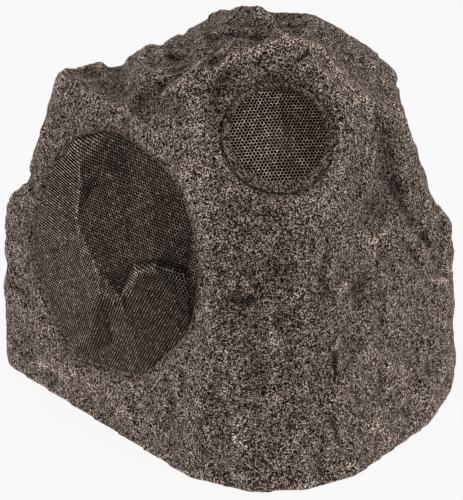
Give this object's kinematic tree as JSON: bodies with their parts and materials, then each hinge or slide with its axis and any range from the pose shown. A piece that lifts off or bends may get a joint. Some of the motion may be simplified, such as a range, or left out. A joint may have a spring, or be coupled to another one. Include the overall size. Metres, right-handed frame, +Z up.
{
  "type": "rock-shaped garden speaker",
  "caption": "Two-way garden loudspeaker in a hollow moulded stone, with folded perforated grilles on its front, a screwed base plate and a cable outlet low on the back.",
  "frame": {"origin": "on the ground under the stone, at the middle of its base plate's underside", "axes": "+Z up, -Y towards the front of the stone, between the two grilles; +X to the right seen from the front"},
  "size_m": [0.4131, 0.3787, 0.3464],
  "materials": {
    "stone": "speckled granite-look paint on a moulded fibre-filled shell",
    "grille": "speckled granite-look paint on perforated sheet",
    "base": "moulded black plastic",
    "soft_seal": "soft closed-cell seal",
    "basket": "black enamelled pressed steel",
    "motor_steel": "zinc-plated steel",
    "ferrite": "bare ferrite",
    "cone": "filled black cone",
    "surround": "moulded rubber roll",
    "coil_former": "thin rolled former",
    "spider": "resin-treated cloth",
    "dome": "coated cloth dome",
    "contacts": "tinned brass",
    "board": "glass-fibre board",
    "winding": "enamelled copper winding",
    "film_can": "wrapped film capacitor",
    "resistor_body": "cement resistor body",
    "terminal_body": "moulded terminal block",
    "lead": "soft jacket"
  },
  "bodies": {
    "root": {"rock_shell": "stone", "woofer_grille": "grille", "tweeter_grille": "grille", "base_plate": "base", "base_seal": "soft_seal", "cable_grommet": "soft_seal", "woofer_basket": "basket", "woofer_surround": "surround", "woofer_cone": "cone", "woofer_dust_cap": "cone", "woofer_voice_coil": "coil_former", "woofer_spider": "spider", "woofer_top_plate": "motor_steel", "woofer_magnet": "ferrite", "woofer_yoke": "motor_steel", "woofer_gasket": "soft_seal", "woofer_terminals": "contacts", "tweeter_faceplate": "base", "tweeter_dome": "dome", "tweeter_motor": "basket", "tweeter_gasket": "soft_seal", "tweeter_terminals": "contacts", "crossover_board": "board", "woofer_inductor": "winding", "tweeter_capacitor": "film_can", "padding_resistor": "resistor_body", "terminal_block": "terminal_body", "woofer_lead": "lead", "tweeter_lead": "lead"}
  },
  "joints": []
}
